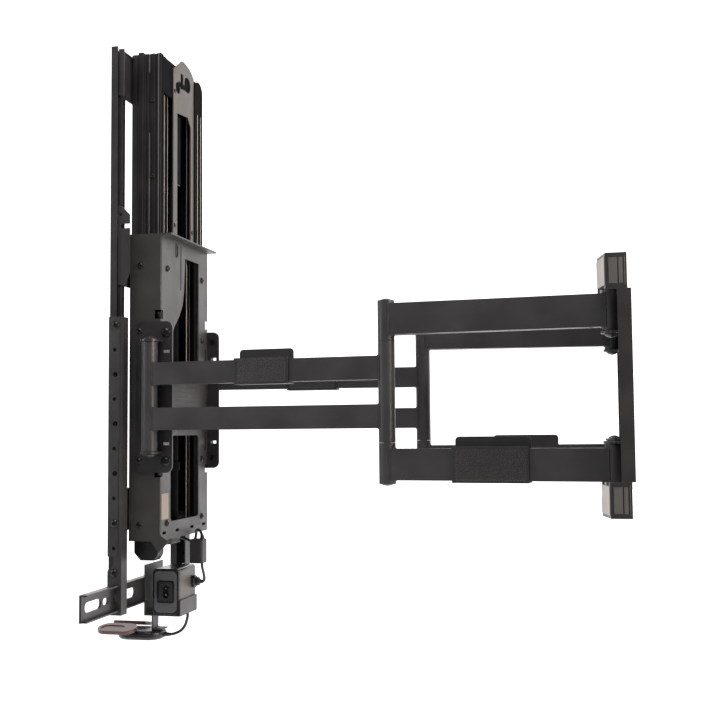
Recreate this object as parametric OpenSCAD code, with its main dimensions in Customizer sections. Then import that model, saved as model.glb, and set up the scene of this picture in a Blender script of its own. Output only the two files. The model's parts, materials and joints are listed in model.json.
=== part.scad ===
// Pull-down television wall mount: wall plate, two folding arms, powered lift column and screen rails.
// Millimetres. +Z is up, +Y goes into the wall and the origin is the centre of the wall plate's back.

/* [Wall bracket] */
// Height of the wall plate
wall_h = 209; // [200:1:212]
// Thickness of the wall plate
wall_t = 3; // [2:0.5:4]
// Depth of the folded edges of the wall plate
wall_fold = 15; // [10:1:16]
// Centre distance of the two lag bolt columns
stud_pitch = 406.4; // [360:0.1:406.4]
// Distance from a lag bolt column to the end of the wall plate
wall_edge = 16.8; // [14:0.1:40]
// Centre distance of the two lag bolt rows
lag_rows = 160; // [100:2:170]
// Width of a lag bolt slot
lag_d = 9; // [7:0.5:11]
// End-to-end length of a lag bolt slot
lag_slot = 15; // [12:1:15]
// Height of each plastic cover above or below the plate
cover_h = 39; // [25:1:50]
// Depth of the covers in the middle
cover_depth = 36; // [34:1:40]
// Depth of the covers at their ends
cover_end_depth = 27; // [22:1:30]
// Wall thickness of the covers
cover_t = 2; // [1.6:0.2:3]
// Gap between the covers and the wall
cover_gap = 4; // [0:0.5:8]

/* [Arms] */
// Distance from the middle to each wall pivot
wall_pivot_x = 150; // [144:0.5:152]
// Distance from the wall to the wall pivots
wall_pivot_y = 22; // [21:0.5:24]
// Distance from the middle to each elbow with the arms pulled out
elbow_x = 128; // [124:0.5:132]
// Distance from the middle to each head pivot
head_pivot_x = 101; // [100:0.5:104]
// Length of an upper arm between its pivots
upper_len = 268.5; // [260:0.5:280]
// Length of a forearm between its pivots
fore_len = 324; // [310:1:338]
// Height of an upper arm tube
upper_tube_h = 38; // [34:1:42]
// Width of an upper arm tube
upper_tube_w = 18; // [14:1:20]
// Height of the upper arm tubes' middle above the arms' mid-height
upper_tube_z = 88; // [87:0.5:90]
// Height of a forearm tube
fore_tube_h = 29; // [24:1:32]
// Width of a forearm tube
fore_tube_w = 16; // [12:1:18]
// Height of the forearm tubes' middle above the arms' mid-height
fore_tube_z = 29.5; // [27:0.5:32]
// Wall thickness of the arm tubes
tube_t = 2; // [1.5:0.25:3]
// Radius of the welded pivot posts
post_r = 10.3; // [9.5:0.1:11]
// Radius of the pivot pins
pin_r = 5; // [4:0.1:6]
// Half height of the forearm's elbow post
elbow_half = 61.8; // [60:0.2:63]
// Length of a cable clip on a forearm
fore_clip_len = 74; // [50:1:100]
// Length of a cable clip on an upper arm
upper_clip_len = 91; // [60:1:110]
// Radial slack of the fourth hinge of the linkage
open_slack = 2.5; // [2.4:0.1:3]

/* [Carriage] */
// Overall width of the lift carriage
carriage_w = 168; // [166:1:172]
// Sheet thickness of the carriage
sheet_t = 2; // [1.5:0.25:2.5]
// Height of the carriage's top above the arms' mid-height
carriage_top = 219; // [210:1:230]
// Depth of the carriage's bottom below the arms' mid-height
carriage_bottom = 190; // [185:1:195]
// Depth of the carriage's sides
carriage_d = 44.5; // [43:0.5:46]
// Length of the top flange towards the wall
top_flange = 15; // [8:1:20]
// Half distance between the hinge lugs of the head
head_lug_z = 72; // [71:0.5:76]
// Half width of the window openings
window_w = 50; // [40:1:54]

/* [Lift column] */
// Height of the column's top above the arms' mid-height, raised
column_top = 470; // [440:1:480]
// Depth of the column's bottom below the arms' mid-height, raised
column_bottom = 184; // [176:1:184]
// Running gap of the slides
slide_gap = 0.4; // [0.3:0.05:0.6]
// Radius of the belt pulleys
pulley_r = 9; // [7:0.5:10]
// Thickness of the lift belts
belt_t = 1.2; // [0.8:0.1:1.6]
// Width of the lift belts
belt_w = 10; // [6:1:10]
// Radius of the actuator's rod
rod_r = 5; // [4:0.5:6]

/* [Screen rails] */
// Centre distance of the two screen rails
rail_pitch = 200; // [198:1:206]
// Width of a screen rail
rail_w = 24; // [20:1:26]
// Depth of a screen rail
rail_d = 9; // [8:0.5:10]
// Height of a rail's top above the arms' mid-height, raised
rail_top = 469; // [450:1:480]
// Depth of a rail's bottom below the arms' mid-height, raised
rail_bottom = 282; // [278:1:290]
// Height of the screen's middle above the arms' mid-height, raised
screen_mid = 93; // [80:1:110]
// Radius of the screen bolt holes
screen_hole_r = 3.5; // [2.5:0.1:4]
// Pitch of the holes in the side strips
strip_pitch = 64.5; // [56:0.5:66]
// Radius of the holes in the side strips
strip_hole_r = 3.4; // [2.5:0.1:4]
// Reach of the slotted bar from the middle to its near end
bar_reach = 204; // [190:1:260]
// Reach of the slotted bar past the middle
bar_far = 30; // [20:1:100]
// Height of the slotted bar
bar_h = 34; // [30:1:40]

/* [Power supply] */
// Width of the power supply
box_w = 60; // [50:1:70]
// Depth of the power supply
box_d = 38; // [34:1:40]
// Height of the power supply
box_h = 62; // [50:1:66]
// Diameter of the short leads
lead_d = 4; // [3:0.5:5]

/* [Hidden] */
$fn = 48;
eps = 0.01;
running = 0.06;
black = "#2b2a29";
dark = "#3a3937";
warm = "#6f675f";
pale = "#b5aca4";

// Places worked out from the sizes above
wall_w = stud_pitch + 2 * wall_edge;
upper_turn = asin((elbow_x - wall_pivot_x) / upper_len);
fore_turn = asin((elbow_x - head_pivot_x) / fore_len);
elbow_y = wall_pivot_y + upper_len * cos(upper_turn);
head_y = elbow_y + fore_len * cos(fore_turn);
upper_tube_top = upper_tube_z + upper_tube_h / 2;
upper_post_top = upper_tube_top + 4.5;
lug_t = 3;
lug_gap = 0.4;
post_gap = 0.3;
wall_post_low = upper_tube_z - upper_tube_h / 2 - 4.5;
cap_h = 2.5;
tube_weep_r = 2.5;
clip_t = 2.2;
clip_play = 0.2;

lip_x = wall_pivot_x - 24;
lip_h = 4;
cover_corner = 40;

// The carriage lies around the head pivots
carriage_x = carriage_w / 2;
carriage_back = head_y - 7.6;
carriage_front = carriage_back + carriage_d;
hinge_web_x = carriage_x + 3;
bracket_back = carriage_back - 18;
bracket_front = carriage_back + 34;

// The slides from the wall side to the screen side
gable_play = 2;
gable_back = carriage_back + sheet_t + gable_play;
gable_t = 2;
column_back = gable_back + gable_t;
column_front = column_back + 34;
column_x = carriage_x - 12.5;
tongue_w = 7;
tongue_len = 7;
front_tongue = 5;
slide_w = 15;
tongue_mid = column_front - 7.6;
slide_t = 3;
front_back = column_front + slide_gap;
front_front = front_back + 8;
bar_t = 2;
cross_front = front_front + bar_t;
cross_d = 8;
cross_x = rail_pitch / 2 + 9;
front_slide_x = 64;
rail_back = cross_front;
rail_front = rail_back + rail_d;
belt_y = column_back + 17;
belt_x = 40;
web_t = 1.8;
collar_t = 2.5;
upper_pulley_z = column_top - 22;
lower_pulley_z = -column_bottom + 16;
actuator_r = 12;
actuator_top = 140;
motor_low = -carriage_bottom - 10;
motor_top = -carriage_bottom + 86;
motor_w = 44;
motor_d = 23.6;
motor_r = 8;
motor_x = actuator_r + motor_r + 1.5;
bracket_h = 12;
bracket_z = [40, -100];
bracket_x = [52, 61];
near_clip_mid = 141;
far_clip_mid = 123;
fore_clip_mid = 162;
strip_t = 3;
rail_outer = rail_pitch / 2 + rail_w / 2;
strip_x = rail_outer + strip_t;
strip_front = 9.6;
strip_back = 10;
strip_y = rail_front - strip_front;
strip_z = 93.8;
bar_z = -rail_bottom + 22;
rail_notch = 1.6;
bar_front = rail_back + rail_notch;
bar_back = bar_front - 3;
bar_flange = 9.5;
tray_front = bar_back;
tray_t = 2;
tray_floor = bar_z - 37;
box_front = tray_front - 13;
box_mid_y = box_front - box_d / 2;
box_low = tray_floor + tray_t;
box_near = 26;
box_x = box_near - box_w / 2;
box_back = box_front - box_d;
plug = [-24, -256];
plug_len = 10;
block_x = -14;
block_y = carriage_back - 14;
block_z = [-carriage_bottom - 39, -carriage_bottom - 6];
clamp_x = [-38, -28];
clamp_z = [-carriage_bottom - 10, -carriage_bottom];
inlet_w = 23;
inlet_h = 28;
inlet_deep = 9;

// Routes, with the middle number counted from the carriage's back plate towards the wall
// Route of the lead from the power supply up to the inline block
box_lead_path = [[-24, 12, -256], [-24, 16, -256], [-24, 19, -254], [-22, 20, -249], [-18, 20, -241],
    [-15, 20, -236], [-14, 20, -233], [-14, 20, -229]];
// Route of the lead from the inline block up and under the carriage
column_lead_path = [[-14, 20, -196], [-14, 20, -192], [-16, 17, -186], [-20, 12, -184], [-25, 7, -186],
    [-28, 5.5, -191], [-29, 4, -196], [-30, 1, -199.5], [-31, -4, -200.5], [-32, -11, -198.5],
    [-33, -19, -196], [-33, -25, -195], [-33, -29, -195]];
// Route of the sensor's lead up behind the tray
sensor_lead_path = [[0, -30, -326], [0, -24, -326], [-1, -16, -325], [-2, -7, -321], [-3, -1, -314],
    [-3, 2, -306], [-3, 3, -301], [-3, 3, -297]];
function routed(path) = [for (p = path) [p[0], p[1] - carriage_back, p[2]]];

// A box between two distances from the wall, on both sides of the middle
module slab(x0, x1, y0, y1, z0, z1) { translate([x0, -y1, z0]) cube([x1 - x0, y1 - y0, z1 - z0]); }
// The same piece on both sides
module both() {
    children();
    mirror([1, 0, 0]) children();
}
// A pin along X, Y or Z
module rod_x(x0, x1, y, z, r) { translate([x0, -y, z]) rotate([0, 90, 0]) cylinder(h = x1 - x0, r = r); }
module rod_y(x, y0, y1, z, r) { translate([x, -y0, z]) rotate([90, 0, 0]) cylinder(h = y1 - y0, r = r); }
module rod_z(x, y, z0, z1, r) { translate([x, -y, z0]) cylinder(h = z1 - z0, r = r); }
// A low domed head over a flat seat, growing along +Z
module dome(r, h) { intersection() {
    translate([0, 0, h - r * 1.4]) sphere(r = r * 1.4);
    cylinder(h = h, r = r);
} }
// A socket head with its hexagon, growing along +Z
module button(r, h) { difference() {
    dome(r, h);
    translate([0, 0, h * 0.45]) cylinder(h = h, r = r * 0.42, $fn = 6);
} }
// An oval slot along X, cut through a plate that faces Y
module slot_y(x, z, y0, y1, len, w) {
    for (s = [-1, 1]) rod_y(x + s * (len - w) / 2, y0, y1, z, w / 2);
    slab(x - (len - w) / 2, x + (len - w) / 2, y0, y1, z - w / 2, z + w / 2);
}
// Outline of a rectangle with round corners
module round_rect(w, h, r) {
    square([w - 2 * r, h], center = true);
    square([w, h - 2 * r], center = true);
    for (a = [-1, 1], b = [-1, 1]) translate([a * (w / 2 - r), b * (h / 2 - r)]) circle(r = r);
}
// A tube swept along a route of points, eight-sided
function unit(v) = v / norm(v);
function ring_dir(p, i) = unit(p[min(i + 1, len(p) - 1)] - p[max(i - 1, 0)]);
function side_dir(d) = unit(cross(d, [1, 0.001, 0.002]));
function ring(p, i, r) = let (d = ring_dir(p, i), u = side_dir(d), v = cross(d, u))
    [for (k = [0:7]) p[i] + r * cos(45 * k) * u + r * sin(45 * k) * v];
module lead(path, r) {
    n = len(path);
    points = [for (i = [0:n - 1]) each ring(path, i, r)];
    sides = [for (i = [0:n - 2], k = [0:7])
        [8 * i + k, 8 * i + (k + 1) % 8, 8 * (i + 1) + (k + 1) % 8, 8 * (i + 1) + k]];
    start = [for (k = [7:-1:0]) k];
    end = [for (k = [0:7]) 8 * (n - 1) + k];
    polyhedron(points, concat(sides, [start, end]), convexity = 4);
}

// Wall bracket
module wall_plate() { color(black) {
    difference() {
        union() {
            slab(-wall_w / 2, wall_w / 2, 0, wall_t, -wall_h / 2, wall_h / 2);
            both() slab(wall_w / 2 - wall_t, wall_w / 2, 0, wall_fold, -wall_h / 2, wall_h / 2);
            for (s = [-1, 1])
                slab(-wall_w / 2, wall_w / 2, 0, wall_fold, s * wall_h / 2 - (s > 0 ? wall_t : 0),
                    s * wall_h / 2 + (s > 0 ? 0 : wall_t));
        }
        for (a = [-1, 1], b = [-1, 1])
            slot_y(a * stud_pitch / 2, b * lag_rows / 2, -1, wall_t + 1, lag_slot, lag_d);
        for (b = [-1, 1]) rod_y(0, -1, wall_t + 1, b * lag_rows / 2, lag_d / 2);
        for (a = [-1, 1], b = [-1, 1])
            slab(a * wall_pivot_x - 21, a * wall_pivot_x + 21, wall_t, wall_fold + 1,
                b * wall_h / 2 - wall_t - 1, b * wall_h / 2 + wall_t + 1);
    }
} }
module cover_outline(inset, back) {
    w = wall_w / 2 - inset;
    polygon([[-w, -back], [-w, -cover_end_depth + inset], [-w + cover_corner, -cover_depth + inset],
        [w - cover_corner, -cover_depth + inset], [w, -cover_end_depth + inset], [w, -back]]);
}
module wall_cover() { difference() {
    union() {
        translate([0, 0, wall_h / 2]) linear_extrude(cover_h) cover_outline(0, cover_gap);
        // Lip in front of the plate, between the arms
        slab(-lip_x, lip_x, cover_depth - 3, cover_depth, wall_h / 2 - lip_h, wall_h / 2 + eps);
    }
    translate([0, 0, wall_h / 2 + cover_t])
        linear_extrude(cover_h - 2 * cover_t) cover_outline(cover_t, 0);
    // Shallow panel in each end
    both() slab(wall_w / 2 - 0.8, wall_w / 2 + 1, 8, cover_end_depth - 3,
        wall_h / 2 + 5, wall_h / 2 + cover_h - 5);
    // Narrow slot beside the panel
    both() slab(wall_w / 2 - 1.2, wall_w / 2 + 1, 4, 6.2, wall_h / 2 + 4, wall_h / 2 + cover_h - 4);
    // Room for the hinges, and for the arms as they fold out below the cover
    both() slab(lip_x + 2, wall_pivot_x + 22, -1, cover_depth + 1,
        wall_h / 2 - 1, upper_post_top + lug_t + cap_h + 3);
    both() slab(wall_pivot_x, wall_w / 2 - 8, 13, cover_depth + 1, wall_h / 2 - 1, upper_tube_top + 1.5);
} }
module upper_wall_cover() { color(pale) wall_cover(); }
module lower_wall_cover() { color(pale) mirror([0, 0, 1]) wall_cover(); }
// A lug of a wall hinge, with its pin hole
module wall_lug(z0) { difference() {
    union() {
        slab(-14, 14, wall_t + eps, wall_pivot_y, z0, z0 + lug_t);
        rod_z(0, wall_pivot_y, z0, z0 + lug_t, 12);
        slab(-12, 12, wall_t + eps, wall_pivot_y, z0, z0 + lug_t);
    }
    rod_z(0, wall_pivot_y, z0 - 1, z0 + lug_t + 1, pin_r + running);
} }
module wall_hinge() { translate([wall_pivot_x, 0, 0]) {
    slab(-18, 18, wall_t, 2 * wall_t, -upper_post_top - lug_gap - lug_t, upper_post_top + lug_gap + lug_t);
    for (s = [0, 1]) mirror([0, 0, s]) {
        wall_lug(upper_post_top + lug_gap);
        wall_lug(wall_post_low - lug_gap - lug_t);
    }
} }
module near_wall_hinge() { color(dark) wall_hinge(); }
module far_wall_hinge() { color(dark) mirror([1, 0, 0]) wall_hinge(); }
module wall_pin() {
    low = wall_post_low - lug_gap - lug_t;
    rod_z(wall_pivot_x, wall_pivot_y, low, upper_post_top + lug_gap + lug_t + cap_h, pin_r);
    translate([wall_pivot_x, -wall_pivot_y, low]) mirror([0, 0, 1]) dome(8, 4.5);
}
module wall_hinge_pins() { color(black) both() for (s = [0, 1]) mirror([0, 0, s]) wall_pin(); }

// Upper arms, drawn from the wall pivot towards the elbow
module at_upper_arm() { translate([wall_pivot_x, -wall_pivot_y, 0]) rotate([0, 0, upper_turn]) children(); }
module at_forearm() { translate([elbow_x, -elbow_y, 0]) rotate([0, 0, -fore_turn]) children(); }
// A hollow tube between two posts, with a drain hole underneath
module arm_tube(len, w, h, z) { difference() {
    slab(-w / 2, w / 2, 0, len, z - h / 2, z + h / 2);
    slab(-w / 2 + tube_t, w / 2 - tube_t, post_r + 2, len - post_r - 2,
        z - h / 2 + tube_t, z + h / 2 - tube_t);
    rod_z(0, post_r + 12, z - h / 2 - 1, z - h / 2 + tube_t + 1, tube_weep_r);
} }
module upper_weldment() { difference() {
    union() {
        arm_tube(upper_len, upper_tube_w, upper_tube_h, upper_tube_z);
        rod_z(0, 0, wall_post_low, upper_post_top, post_r);
        rod_z(0, upper_len, elbow_half + post_gap, upper_post_top, post_r);
    }
    rod_z(0, 0, 0, upper_post_top + 1, pin_r + running);
    rod_z(0, upper_len, 0, upper_post_top + 1, pin_r + running);
    // The lower part of the tube's end is cut back to the post
    rod_z(0, upper_len, 0, elbow_half + post_gap, post_r + 2);
} }
module near_upper_arm_top() { color(dark) at_upper_arm() upper_weldment(); }
module near_upper_arm_bottom() { color(dark) at_upper_arm() mirror([0, 0, 1]) upper_weldment(); }
module far_upper_arm_top() { color(dark) mirror([1, 0, 0]) at_upper_arm() upper_weldment(); }
module far_upper_arm_bottom() { color(dark) mirror([1, 0, 0]) at_upper_arm()
    mirror([0, 0, 1]) upper_weldment(); }
module elbow_pin() { translate([elbow_x, -elbow_y, 0]) {
    cylinder(h = 2 * upper_post_top, r = pin_r, center = true);
    for (s = [0, 1]) mirror([0, 0, s]) translate([0, 0, upper_post_top]) dome(post_r, cap_h);
} }
module near_elbow_pin() { color(black) elbow_pin(); }
module far_elbow_pin() { color(black) mirror([1, 0, 0]) elbow_pin(); }

// A clip that wraps a tube from below, with a taller wall on the inner side
module cable_clip(len, mid, w, h, z) {
    half = w / 2 + clip_play;
    low = z - h / 2 - clip_play;
    high = z + h / 2 + 2;
    wall_top = z + h / 2 + 14;
    slab(half, half + clip_t, mid - len / 2, mid + len / 2, low - clip_t, high);
    slab(-half - clip_t, half + clip_t, mid - len / 2, mid + len / 2, low - clip_t, low);
    translate([-half - clip_t, -mid, (low - clip_t + wall_top) / 2]) rotate([90, 0, 90])
        linear_extrude(clip_t) round_rect(len, wall_top - low + clip_t, 5);
}
module upper_clip(mid) { at_upper_arm()
    cable_clip(upper_clip_len, mid, upper_tube_w, upper_tube_h, -upper_tube_z); }
module near_upper_arm_clip() { color(black) upper_clip(near_clip_mid); }
module far_upper_arm_clip() { color(black) mirror([1, 0, 0]) upper_clip(far_clip_mid); }
module fore_clip() { at_forearm()
    cable_clip(fore_clip_len, fore_clip_mid, fore_tube_w, fore_tube_h, fore_tube_z); }
module near_forearm_clip() { color(black) fore_clip(); }
module far_forearm_clip() { color(black) mirror([1, 0, 0]) fore_clip(); }

// Forearms, drawn from the elbow towards the head
module forearm(head_slack) { difference() {
    union() {
        for (s = [-1, 1]) arm_tube(fore_len, fore_tube_w, fore_tube_h, s * fore_tube_z);
        rod_z(0, 0, -elbow_half, elbow_half, post_r);
        rod_z(0, fore_len, -head_lug_z + lug_gap, head_lug_z - lug_gap, post_r);
    }
    rod_z(0, 0, -elbow_half - 1, elbow_half + 1, pin_r + running);
    rod_z(0, fore_len, -head_lug_z, head_lug_z, pin_r + head_slack);
} }
module near_forearm() { color(dark) at_forearm() forearm(running); }
module far_forearm() { color(dark) mirror([1, 0, 0]) at_forearm() forearm(open_slack); }

// Carriage
module window_outline() {
    w = window_w;
    polygon([[-w, 22], [w, 22], [w, 66], [w - 4, 84], [w - 13, 98], [w - 30, 114], [w - 41, 130],
        [w - 46, 150], [w - 50, 197], [-w, 197]]);
}
module lower_window_outline() { translate([0, -109]) round_rect(2 * window_w, 115, 6); }
module carriage_shell() { color(dark) difference() {
    union() {
        slab(-carriage_x, carriage_x, carriage_back, carriage_back + sheet_t,
            -carriage_bottom, carriage_top);
        both() slab(carriage_x - sheet_t, carriage_x, carriage_back, carriage_front,
            -carriage_bottom, carriage_top);
        both() slab(carriage_x - 7, carriage_x, carriage_front - sheet_t, carriage_front,
            -carriage_bottom, carriage_top);
        slab(-carriage_x, carriage_x, carriage_back - top_flange, carriage_back + sheet_t,
            carriage_top - sheet_t, carriage_top);
        // Folded ear under the near side
        translate([carriage_x, 0, 0]) rotate([90, 0, -90]) linear_extrude(sheet_t)
            polygon([[carriage_back - 12, -carriage_bottom], [carriage_back, -carriage_bottom + 8],
                [carriage_back + 13, -carriage_bottom + 8], [carriage_back + 13, -carriage_bottom],
                [carriage_back + 2, -carriage_bottom - 15]]);
    }
    translate([0, -carriage_back + 1, 0]) rotate([90, 0, 0]) linear_extrude(sheet_t + 2) {
        window_outline();
        lower_window_outline();
    }
    // Oval slot, vents and the open corners at the hinges
    translate([30, -carriage_back + 1, carriage_top - 16]) rotate([90, 0, 0])
        linear_extrude(sheet_t + 2) round_rect(4, 15, 1.9);
    for (x = [-70, -26, 26, 70])
        slot_y(x, -carriage_bottom + 10, carriage_back - 1, carriage_back + sheet_t + 1, 12, 4);
    both() for (z = [110, -100])
        slab(carriage_x - 8, carriage_x + 1, carriage_back - 1, carriage_back + 9, z - 6, z + 6);
    both() for (z = [60, -60])
        slab(carriage_x - 10, carriage_x - sheet_t - 3, carriage_back - 1, carriage_back + sheet_t + 1,
            z - 14, z + 14);
} }
// Fixed outer slide with its groove facing the middle
module carriage_slides() { color(black) both() difference() {
    slab(column_x + slide_gap, carriage_x - sheet_t,
        tongue_mid - tongue_w / 2 - slide_t, tongue_mid + tongue_w / 2 + slide_t,
        -carriage_bottom + 8, carriage_top - 6);
    slab(column_x, column_x + tongue_len + slide_gap,
        tongue_mid - tongue_w / 2 - slide_gap, tongue_mid + tongue_w / 2 + slide_gap,
        -carriage_bottom + 7, carriage_top - 5);
} }
module head_lug(z0) { difference() {
    union() {
        slab(carriage_x + eps, head_pivot_x, head_y - 12, head_y + 12, z0, z0 + lug_t);
        rod_z(head_pivot_x, head_y, z0, z0 + lug_t, 12);
    }
    rod_z(head_pivot_x, head_y, z0 - 1, z0 + lug_t + 1, pin_r + running);
} }
module head_hinge() {
    difference() {
        translate([carriage_x, -(bracket_front + bracket_back) / 2, 0]) rotate([90, 0, 90])
            linear_extrude(hinge_web_x - carriage_x) round_rect(bracket_front - bracket_back, 200, 9);
        for (z = [-85, 85]) rod_x(carriage_x - 1, hinge_web_x + 1, bracket_back + 9, z, 4 + running);
        for (z = [-62, 60])
            slab(carriage_x - 1, hinge_web_x + 1, bracket_back + 4, bracket_back + 12, z - 2, z + 2);
    }
    for (s = [0, 1]) mirror([0, 0, s]) head_lug(head_lug_z);
}
module near_head_hinge() { color(black) head_hinge(); }
module far_head_hinge() { color(black) mirror([1, 0, 0]) head_hinge(); }
module head_hinge_pins() { color(black) both() translate([head_pivot_x, -head_y, 0]) {
    cylinder(h = 2 * (head_lug_z + lug_t), r = pin_r, center = true);
    for (s = [0, 1]) mirror([0, 0, s]) translate([0, 0, head_lug_z + lug_t]) dome(8.5, 5);
} }
side_bolt_z = [176, 88, -84.5, -169];
back_bolt_z = [174, -168];
module carriage_bolts() { color(black) {
    both() for (z = [side_bolt_z[0], side_bolt_z[3]])
        translate([carriage_x, -carriage_back - 29, z]) rotate([0, 90, 0]) button(4.2, 2.6);
    both() for (z = [side_bolt_z[1], side_bolt_z[2]])
        translate([hinge_web_x, -carriage_back - 29, z]) rotate([0, 90, 0]) button(4.2, 2.6);
    both() for (z = back_bolt_z) translate([62, -carriage_back, z]) rotate([-90, 0, 0]) button(4.4, 3);
    both() for (z = [-86, 86]) translate([62, -carriage_back, z]) rotate([-90, 0, 0]) button(4.4, 3);
    // Large bolts through each hinge, behind the back plate
    both() for (z = [-85, 85]) {
        rod_x(carriage_x - 3, hinge_web_x, bracket_back + 9, z, 4);
        translate([hinge_web_x, -bracket_back - 9, z]) rotate([0, 90, 0]) button(6.6, 4);
    }
} }
module blank_label() { color("#b09c88")
    slab(57, 80, carriage_back - 0.4, carriage_back, -162, -128); }
module actuator_tube() { color(dark) difference() {
    rod_z(0, belt_y, -carriage_bottom - 2, actuator_top, actuator_r);
    rod_z(0, belt_y, -carriage_bottom + 1, actuator_top + 1, rod_r + running);
} }
// Two arms that hold the tube to the carriage's back plate, reaching through the near belt's loop
module actuator_bracket() { color(dark) for (z = bracket_z) difference() {
    union() {
        slab(bracket_x[0], bracket_x[1], carriage_back + sheet_t, belt_y + 6, z, z + bracket_h);
        slab(0, bracket_x[1], belt_y - 6, belt_y + 6, z, z + bracket_h);
        rod_z(0, belt_y, z, z + bracket_h, actuator_r + collar_t);
    }
    rod_z(0, belt_y, z - 1, z + bracket_h + 1, actuator_r + running);
} }
// Flat gearbox under the tube, with the motor standing beside the tube
module motor_cap() { color(black) {
    translate([motor_x + motor_r - motor_w / 2, -belt_y, motor_low])
        linear_extrude(-carriage_bottom - 2 - motor_low) round_rect(motor_w, motor_d, 6);
    rod_z(motor_x, belt_y, -carriage_bottom - 2 - eps, motor_top, motor_r);
} }

// Middle stage of the lift
module column_rails() { color(black) both() difference() {
    union() {
        slab(column_x - 9, column_x, column_back, column_front, -column_bottom, column_top);
        slab(column_x - eps, column_x + tongue_len, tongue_mid - tongue_w / 2, tongue_mid + tongue_w / 2,
            -column_bottom, column_top);
        slab(front_slide_x - tongue_w / 2, front_slide_x + tongue_w / 2, column_front - eps,
            column_front + front_tongue, -column_bottom, column_top);
    }
    // Long grooves along the outer face
    for (y = [column_back + 6, column_back + 15])
        slab(column_x - 1.5, column_x + 1, y, y + 3, -column_bottom - 1, column_top + 1);
} }
// Back plate of the column's upper half, with a peaked top
gable_x = [-41, 33];
gable_low = 214;
window_x = [-19, 19];
module gable_plate() { color(warm) {
    translate([0, -gable_back, 0]) rotate([90, 0, 0]) linear_extrude(gable_t) difference() {
        polygon([[gable_x[0], gable_low], [gable_x[1], gable_low], [gable_x[1], column_top - 9],
            [gable_x[1] - 12, column_top - 2], [4, column_top + 10.5], [-4, column_top + 12],
            [-22, column_top + 9], [-30, column_top + 6], [gable_x[0], column_top - 1]]);
        // Opening with two round lobes
        translate([0, column_top - 24]) {
            translate([17, -8]) circle(r = 8);
            translate([-17, 6]) circle(r = 11);
            translate([3, 5]) square([9, 22], center = true);
            translate([0, -1]) square([30, 7], center = true);
        }
        // Long window with a slanted top
        polygon([[window_x[1], gable_low + 12], [window_x[1], column_top - 69],
            [window_x[0], column_top - 65], [-30, column_top - 78], [-30, gable_low + 12]]);
    }
    // Narrow plate behind the window's near edge
    slab(window_x[1] - 15, window_x[1] + 3, gable_back + gable_t, gable_back + 2 * gable_t,
        column_top - 170, column_top - 72);
} }
// Plates that join the two column rails: a full web in front, a cap on top and three at the back
module column_end_plates() { color(black) {
    inner = column_x - 9;
    slab(-inner, inner, column_back, column_back + 4, column_top - 52, column_top - 2);
    slab(-inner, inner, column_back, column_front - eps, column_top - 4, column_top - 2);
    slab(-inner, gable_x[1], column_back, column_back + 4, gable_low, gable_low + 10);
    slab(-inner, inner, column_back, column_back + 4, -column_bottom, -column_bottom + 4);
    slab(-inner, inner, column_front - web_t, column_front - eps, -column_bottom, column_top - 5);
} }
// The rod's clevis is bolted to the column's front web
module actuator_rod() { color("silver") {
    rod_z(0, belt_y, actuator_top - 26, column_top - 20, rod_r);
    rod_z(0, belt_y, column_top - 20, column_top - 10, 8);
    slab(-8, 8, belt_y, column_front - web_t, column_top - 20, column_top - 10);
} }
// End cap under the near column rail
module column_foot() { color(black) translate([column_x - 14, 0, 0]) rotate([90, 0, 90])
    linear_extrude(20) polygon([[-column_front, -column_bottom], [-column_back, -column_bottom],
        [-column_back, -column_bottom - 24], [-column_back - 5, -column_bottom - 32],
        [-column_front + 9, -column_bottom - 32], [-column_front, -column_bottom - 22]]); }
// Cover over the far rail's back, with a round top and two fine ribs
module belt_cover() { color(black) {
    wide = column_x + gable_x[0];
    mid = (gable_x[0] - column_x) / 2;
    translate([mid, -gable_back + 1.2, 0]) rotate([90, 0, 0]) linear_extrude(gable_t + 1.2) {
        translate([-wide / 2, -column_bottom + 10]) square([wide, column_top + column_bottom - 27]);
        translate([0, column_top - 17]) circle(r = wide / 2);
    }
    for (x = [mid + 5, mid - 7])
        slab(x - 0.6, x + 0.6, gable_back - 1.6, gable_back - 1.2, -column_bottom + 10, column_top - 50);
} }
module belt_loop() {
    module loop(r) {
        translate([0, upper_pulley_z]) circle(r = r);
        translate([0, lower_pulley_z]) circle(r = r);
        translate([-r, lower_pulley_z]) square([2 * r, upper_pulley_z - lower_pulley_z]);
    }
    translate([-belt_w / 2, -belt_y, 0]) rotate([90, 0, 90]) linear_extrude(belt_w) difference() {
        loop(pulley_r + 0.3 + belt_t);
        loop(pulley_r + 0.3);
    }
}
module lift_belts() { color("#555250") both() translate([belt_x, 0, 0]) belt_loop(); }
module pulley_axles() { color("silver") both() for (z = [upper_pulley_z, lower_pulley_z])
    rod_x(belt_x - belt_w / 2 - 4, column_x - 9, belt_y, z, 3); }
module pulley(z) { difference() {
    rod_x(belt_x - belt_w / 2, belt_x + belt_w / 2, belt_y, z, pulley_r);
    rod_x(belt_x - belt_w, belt_x + belt_w, belt_y, z, 3 + running);
} }
module upper_pulleys() { color(dark) both() pulley(upper_pulley_z); }
module lower_pulleys() { color(dark) both() pulley(lower_pulley_z); }

// Front stage of the lift
module front_slides() { color(black) both() difference() {
    slab(front_slide_x - slide_w / 2, front_slide_x + slide_w / 2, front_back, front_front,
        -column_bottom, column_top);
    slab(front_slide_x - tongue_w / 2 - slide_gap, front_slide_x + tongue_w / 2 + slide_gap, front_back - 1,
        front_back + front_tongue, -column_bottom - 1, column_top + 1);
} }
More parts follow.
